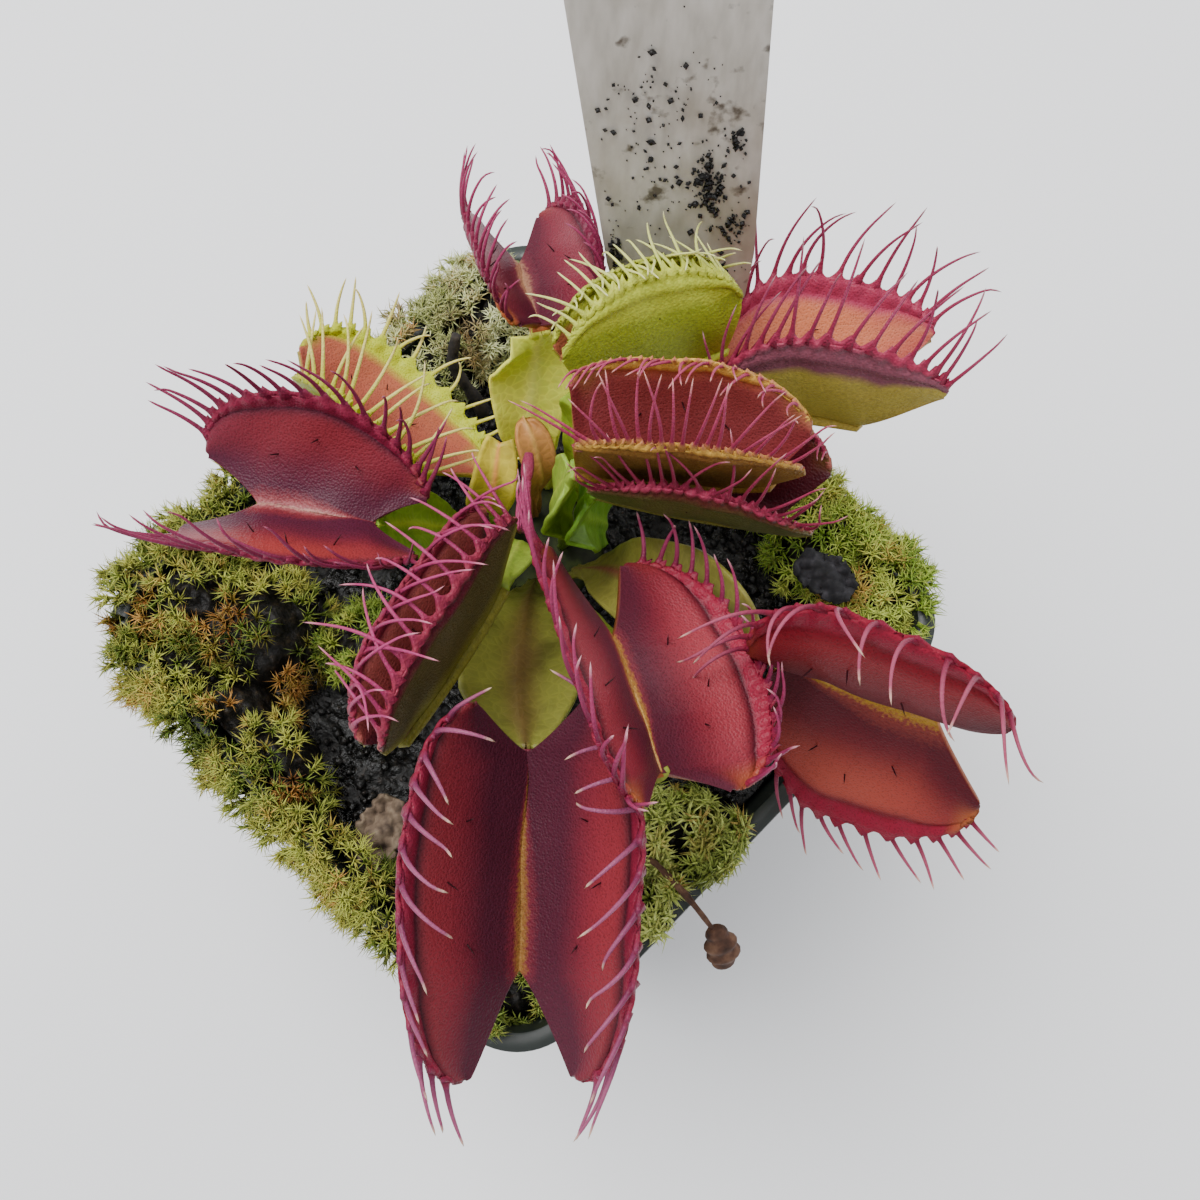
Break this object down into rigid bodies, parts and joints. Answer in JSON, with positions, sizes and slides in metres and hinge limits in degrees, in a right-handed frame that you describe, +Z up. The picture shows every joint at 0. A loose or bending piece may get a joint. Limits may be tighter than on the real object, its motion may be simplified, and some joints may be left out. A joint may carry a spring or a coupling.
{
  "type": "potted venus flytrap",
  "caption": "Carnivorous plant in a square pot: winged leaf stalks carry two-lobed traps fringed with teeth over moss and peat.",
  "frame": {"origin": "centre of the pot's flat underside", "axes": "+Z up; X and Y along the pot's sides; the plant's front leaf points to the corner between -X and -Y, and its label stands towards the corner between +X and +Y"},
  "size_m": [0.1021, 0.0993, 0.1472],
  "materials": {
    "leaf_stalk": "semi-gloss leaf",
    "red_trap": "glossy waxy leaf",
    "bronze_trap": "glossy waxy leaf",
    "lime_trap": "glossy waxy leaf",
    "young_leaf": "semi-gloss leaf",
    "moss": "matte fibrous moss",
    "peat": "matte granular, damp",
    "pot_plastic": "satin moulded plastic",
    "label_plastic": "satin white plastic",
    "withered_leaf": "matte dried leaf"
  },
  "bodies": {
    "root": {"stalk_front": "leaf_stalk", "trap_front": "red_trap", "stalk_middle": "leaf_stalk", "trap_middle": "red_trap", "stalk_right": "leaf_stalk", "trap_right": "red_trap", "stalk_inner_left": "leaf_stalk", "trap_inner_left": "bronze_trap", "stalk_left": "leaf_stalk", "trap_left": "red_trap", "stalk_lime": "leaf_stalk", "trap_lime": "lime_trap", "stalk_back": "leaf_stalk", "trap_back": "red_trap", "stalk_yellow": "leaf_stalk", "trap_yellow": "lime_trap", "stalk_back_right": "leaf_stalk", "trap_back_right": "bronze_trap", "stalk_centre": "leaf_stalk", "trap_centre": "red_trap", "stalk_low": "leaf_stalk", "trap_low": "bronze_trap", "young_leaf_heart": "young_leaf", "young_bud_heart": "red_trap", "young_leaf_tan": "young_leaf", "label": "label_plastic", "dry_leaf": "withered_leaf", "black_scrap": "withered_leaf", "dead_stalk_back": "withered_leaf", "dead_stalk_front": "withered_leaf", "crown": "leaf_stalk", "pot": "pot_plastic", "peat": "peat", "moss_left": "moss", "moss_inner": "moss", "moss_front": "moss", "moss_front_right": "moss", "moss_right": "moss", "moss_back": "moss"}
  },
  "joints": []
}
